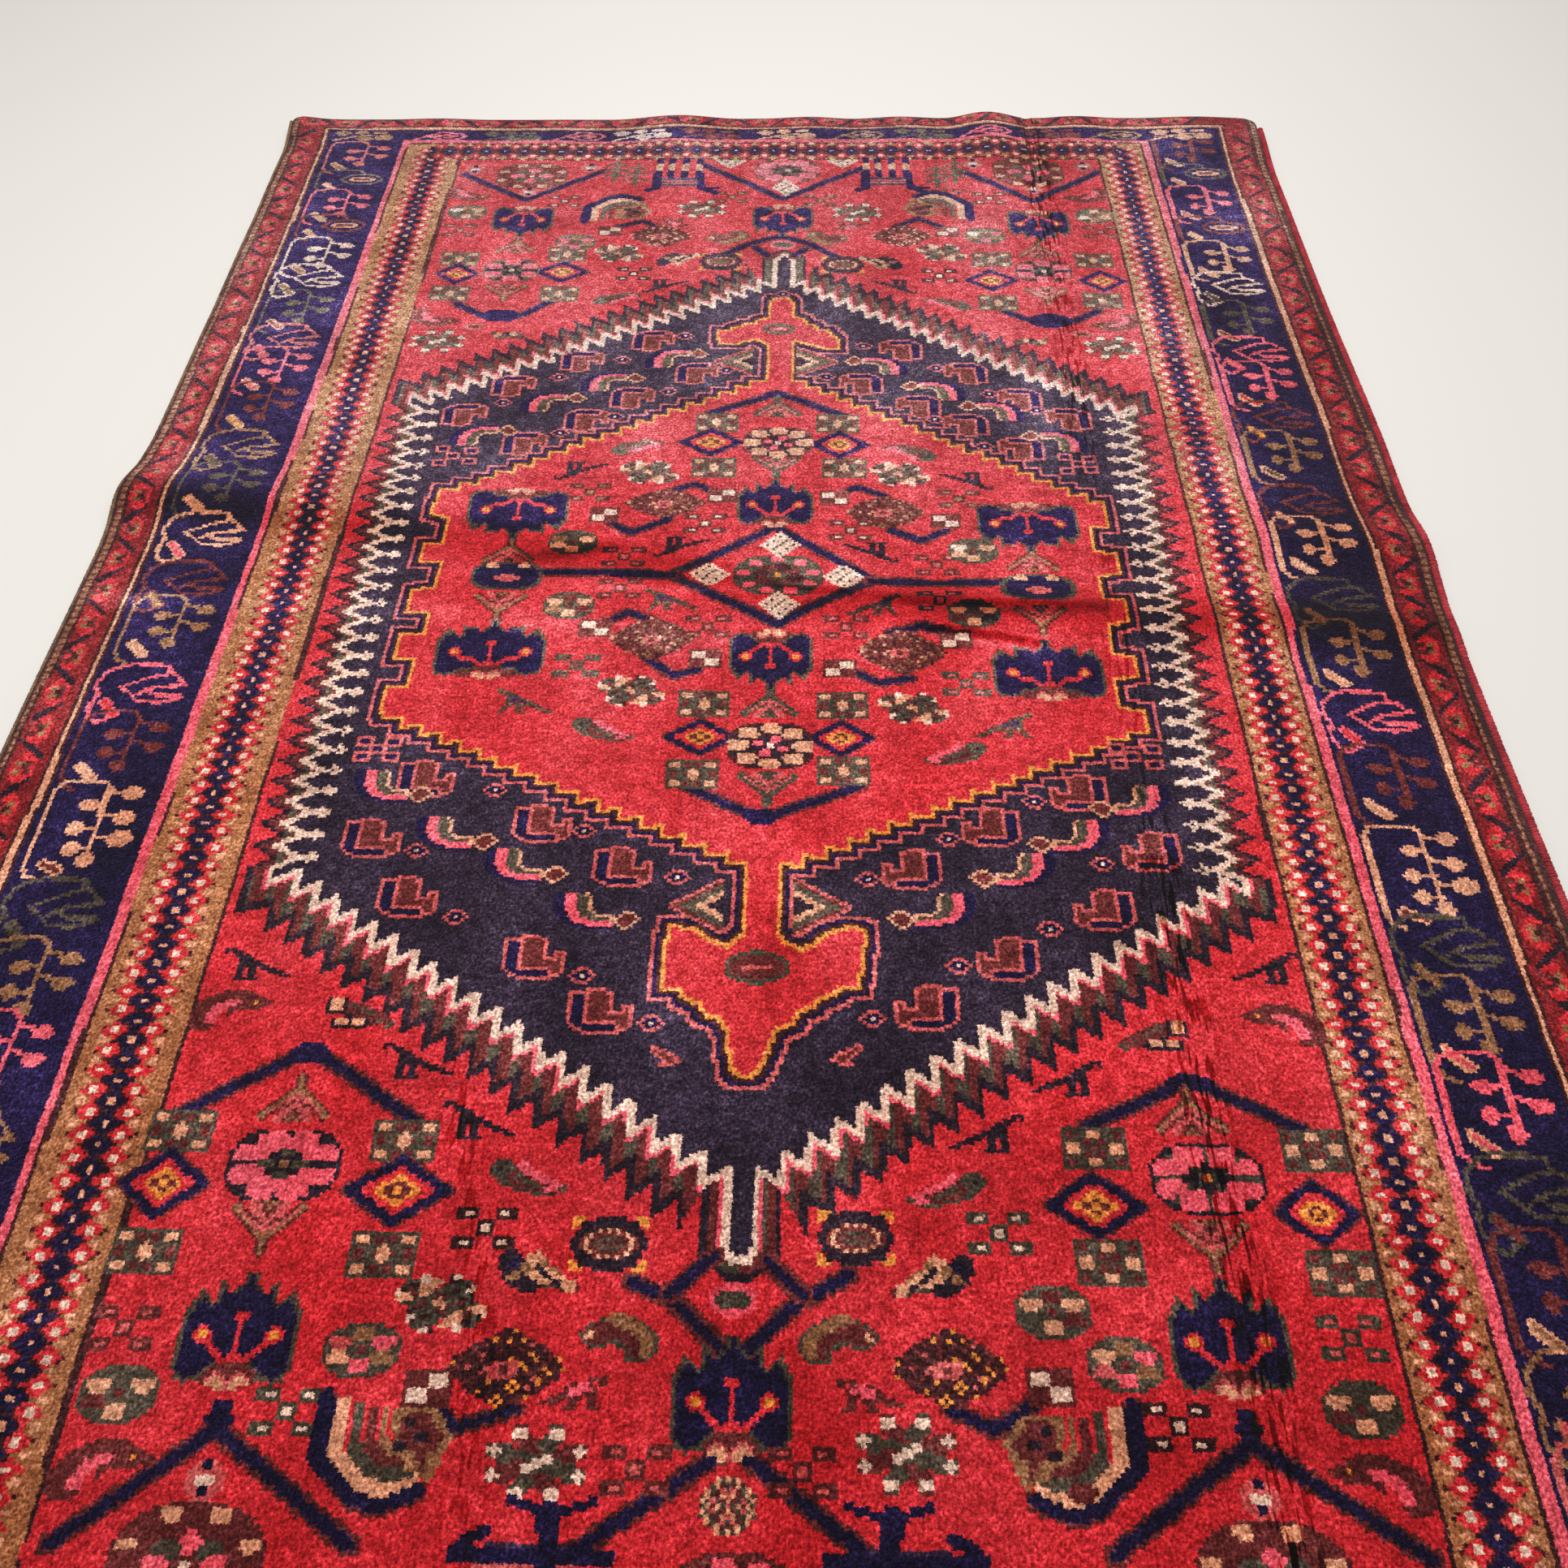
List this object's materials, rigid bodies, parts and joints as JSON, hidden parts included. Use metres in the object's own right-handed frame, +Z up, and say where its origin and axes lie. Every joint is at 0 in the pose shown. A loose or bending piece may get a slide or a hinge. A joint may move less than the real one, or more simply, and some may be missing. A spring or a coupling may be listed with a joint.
{
  "type": "persian rug",
  "caption": "Hand-knotted wool village rug with a hexagonal medallion and a vine border, laid flat with low ridges and cockled ends, its long sides overcast.",
  "frame": {"origin": "on the floor, under the middle of the rug's bounding box", "axes": "+Y along the warps to the far end of the rug, +X across it to the right-hand selvedge, +Z up"},
  "size_m": [1.2988, 2.0396, 0.0184],
  "materials": {
    "wool_pile": "cut pile",
    "selvedge_wool": "overcast yarn",
    "warp_cotton": "cut warp ends"
  },
  "bodies": {
    "root": {"rug_body": "wool_pile", "selvedge_left": "selvedge_wool", "selvedge_right": "selvedge_wool"}
  },
  "joints": []
}
